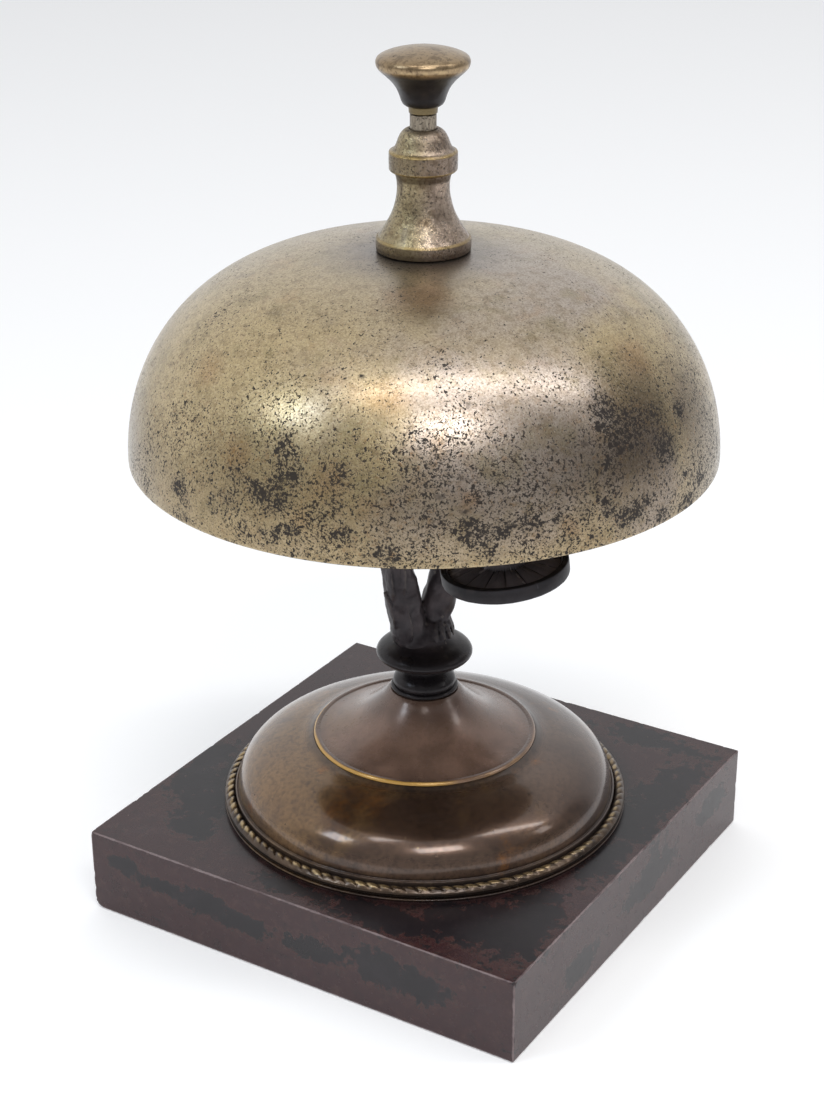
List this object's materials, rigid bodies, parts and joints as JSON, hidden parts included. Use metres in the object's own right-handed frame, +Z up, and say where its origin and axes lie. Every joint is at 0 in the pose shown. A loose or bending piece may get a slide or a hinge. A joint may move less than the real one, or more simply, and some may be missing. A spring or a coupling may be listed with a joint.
{
  "type": "counter service bell",
  "caption": "Counter service bell on a square stone plinth: pressing the knob rocks a lever that throws a round striker against the inside of the bell's lip.",
  "frame": {"origin": "centre of the plinth's underside, on the bell's axis", "axes": "+Z up along the plunger; X and Y along the plinth's sides; the striker heads towards +X -Y"},
  "size_m": [0.116, 0.116, 0.1751],
  "materials": {
    "plinth_stone": "polished, worn",
    "foot_bronze": "patinated, rubbed",
    "bead_bronze": "patinated, bright tips",
    "cone_bronze": "patinated, bright edge",
    "dark_casting": "blackened casting",
    "dark_steel": "blackened",
    "steel": "dull, oily",
    "spring_steel": "dull",
    "brass": "dull",
    "fibre": "matt",
    "bell_metal": "worn nickel over brass, pitted",
    "sleeve_metal": "worn nickel over brass",
    "knob_bronze": "rubbed crown, dark underside"
  },
  "bodies": {
    "frame": {"plinth": "plinth_stone", "tie_rod": "steel", "base_washer": "steel", "base_nut": "steel", "foot_dish": "foot_bronze", "bead_ring": "bead_bronze", "foot_cone": "cone_bronze", "stem_fork": "dark_casting", "mechanism_bracket": "dark_steel", "bracket_screw_left": "steel", "bracket_screw_right": "steel", "guide_tube": "steel", "lock_nut_lower": "steel", "lock_nut_upper": "steel", "spring_seat": "brass", "bell_seat_nut": "steel", "lower_washer": "fibre", "upper_washer": "fibre", "bell_dome": "bell_metal", "sleeve_finial": "sleeve_metal", "return_spring": "spring_steel", "pivot_pin": "steel", "pivot_clip": "steel"},
    "plunger": {"plunger_rod": "steel", "push_knob": "knob_bronze", "spring_washer": "brass", "stop_clip": "steel"},
    "hammer": {"hammer_lever": "dark_steel", "hammer_head": "dark_casting", "striker_stud": "steel", "striker_nut": "steel"}
  },
  "joints": [
    {"name": "plunger_press", "type": "slide", "parent": "frame", "child": "plunger", "axis": [0, 0, -1], "range_m": [0, 0.00245], "stiffness_N_per_m": 500, "springref_m": -0.005, "deforming": ["return_spring"]},
    {"name": "hammer_swing", "type": "hinge", "parent": "frame", "child": "hammer", "pos_m": [0.00882, -0.00657, 0.106], "axis": [-0.5971, -0.8022, 0], "range_deg": [0, 12.8]}
  ],
  "couplings": [
    {"joint": "hammer_swing", "follows": "plunger_press", "rad_per_m": 91.184}
  ]
}
